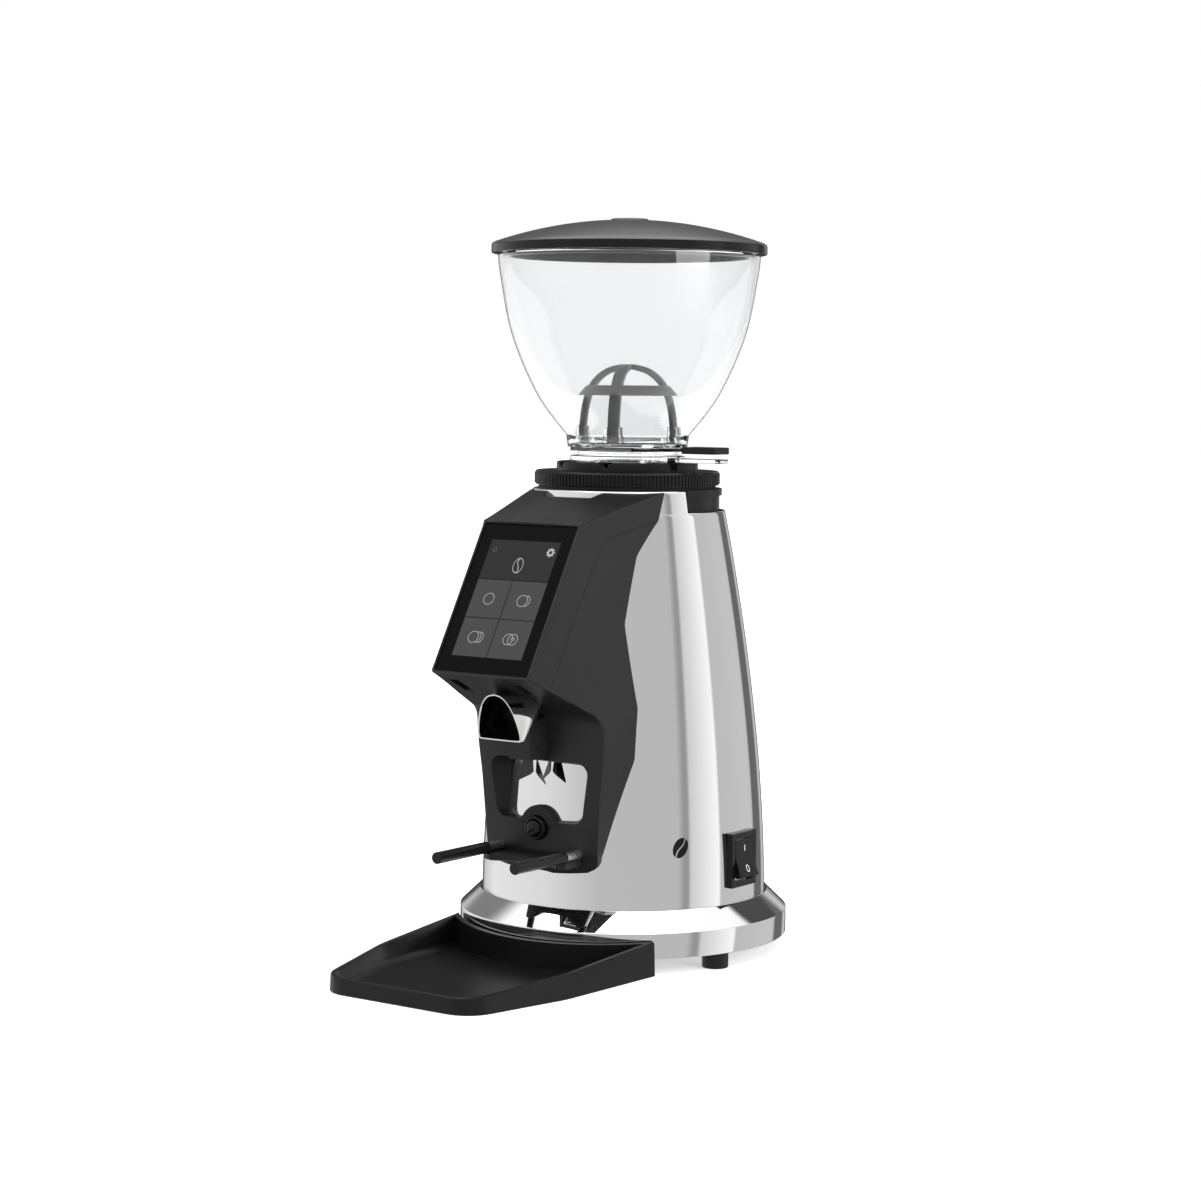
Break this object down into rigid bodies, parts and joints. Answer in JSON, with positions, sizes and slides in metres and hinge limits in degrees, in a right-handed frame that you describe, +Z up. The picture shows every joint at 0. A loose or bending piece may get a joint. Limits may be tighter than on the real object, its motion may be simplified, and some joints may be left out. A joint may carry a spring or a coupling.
{
  "type": "coffee grinder",
  "caption": "Counter-top on-demand coffee grinder with clear hopper, polished tapered body, touch screen head, portafilter fork and slide-out coffee tray.",
  "frame": {"origin": "on the table, under the vertical axis of the body, burrs and hopper", "axes": "+Z up the height; the screen, fork and tray face -Y; the rocker switch is on +X"},
  "size_m": [0.196, 0.3171, 0.4333],
  "materials": {
    "polished_body": "mirror polished",
    "black_cover": "satin black moulding",
    "screen": "gloss black touch panel",
    "display": "display module",
    "chrome_chute": "bright",
    "spring_steel": "bare steel",
    "black_rubber": "semi-matte",
    "gloss_black": "gloss black",
    "black_metal": "satin black",
    "clear_plastic": "clear, faint grey tint",
    "grey_plastic": "satin grey",
    "lid_plastic": "satin dark grey",
    "tray_plastic": "matte black",
    "cast_aluminium": "cast",
    "machine_steel": "machined",
    "white_plastic": "plain",
    "circuit_board": "board green"
  },
  "bodies": {
    "base": {"base_ring": "polished_body", "base_plate": "machine_steel", "foot_front_left": "black_rubber", "foot_front_right": "black_rubber", "foot_rear_left": "black_rubber", "foot_rear_right": "black_rubber", "foot_screws": "spring_steel", "cable_gland": "black_rubber", "body_shell": "polished_body", "front_cover": "black_cover", "screen_glass": "screen", "display_module": "display", "chute": "chrome_chute", "outlet_block": "black_cover", "portafilter_clip": "spring_steel", "button_collar": "gloss_black", "button_switch": "gloss_black", "button_spring": "spring_steel", "fork_rods": "spring_steel", "fork_sleeve_left": "black_rubber", "fork_sleeve_right": "black_rubber", "fork_plate": "black_cover", "switch_bezel": "gloss_black", "burr_housing": "black_metal", "thrust_washer": "white_plastic", "base_posts": "cast_aluminium", "post_screws": "spring_steel", "motor_bracket_lower": "cast_aluminium", "motor_bracket_upper": "cast_aluminium", "bearing_lower": "machine_steel", "bearing_upper": "machine_steel", "stator_posts": "cast_aluminium", "stator": "machine_steel", "housing_posts": "cast_aluminium", "shaft_seal": "white_plastic", "capacitor": "white_plastic", "power_board": "circuit_board", "board_standoffs": "white_plastic"},
    "grinding_shaft": {"motor_shaft": "machine_steel", "rotor": "machine_steel", "cooling_fan": "white_plastic", "lower_burr_carrier": "cast_aluminium", "lower_burr": "machine_steel", "lower_burr_screws": "spring_steel"},
    "ring": {"adjust_ring": "black_metal", "ring_collar": "black_metal"},
    "carrier": {"upper_burr_carrier": "cast_aluminium", "upper_burr": "machine_steel", "upper_burr_screws": "spring_steel"},
    "bean_hopper": {"hopper": "clear_plastic", "hopper_neck": "clear_plastic", "bean_guard": "grey_plastic"},
    "gate": {"gate": "gloss_black"},
    "lid": {"lid": "lid_plastic"},
    "button": {"start_button": "gloss_black"},
    "rocker": {"rocker": "gloss_black"},
    "tray": {"coffee_tray": "tray_plastic"}
  },
  "joints": [
    {"name": "burr_spin", "type": "hinge", "parent": "base", "child": "grinding_shaft", "pos_m": [0, 0, 0.2], "axis": [0, 0, 1], "continuous": true},
    {"name": "ring_turn", "type": "hinge", "parent": "base", "child": "ring", "pos_m": [0, 0, 0.28], "axis": [0, 0, 1], "range_deg": [-150, 150]},
    {"name": "carrier_rise", "type": "slide", "parent": "base", "child": "carrier", "axis": [0, 0, 1], "range_m": [-0.00063, 0.00063]},
    {"name": "hopper_lift", "type": "slide", "parent": "base", "child": "bean_hopper", "axis": [0, 0, 1], "range_m": [0, 0.06]},
    {"name": "gate_slide", "type": "slide", "parent": "bean_hopper", "child": "gate", "axis": [1, 0, 0], "range_m": [0, 0.048]},
    {"name": "lid_lift", "type": "slide", "parent": "bean_hopper", "child": "lid", "axis": [0, 0, 1], "range_m": [0, 0.06]},
    {"name": "button_press", "type": "slide", "parent": "base", "child": "button", "axis": [0, 1, 0], "range_m": [0, 0.003], "stiffness_N_per_m": 300, "springref_m": -0.002, "deforming": ["button_spring"]},
    {"name": "rocker_tilt", "type": "hinge", "parent": "base", "child": "rocker", "pos_m": [0.08385, -0.001, 0.06], "axis": [0, 1, 0], "range_deg": [0, 22]},
    {"name": "tray_slide", "type": "slide", "parent": "base", "child": "tray", "axis": [0, -1, 0], "range_m": [0, 0.12]}
  ],
  "couplings": [
    {"joint": "carrier_rise", "follows": "ring_turn", "m_per_rad": 0.00023873}
  ]
}
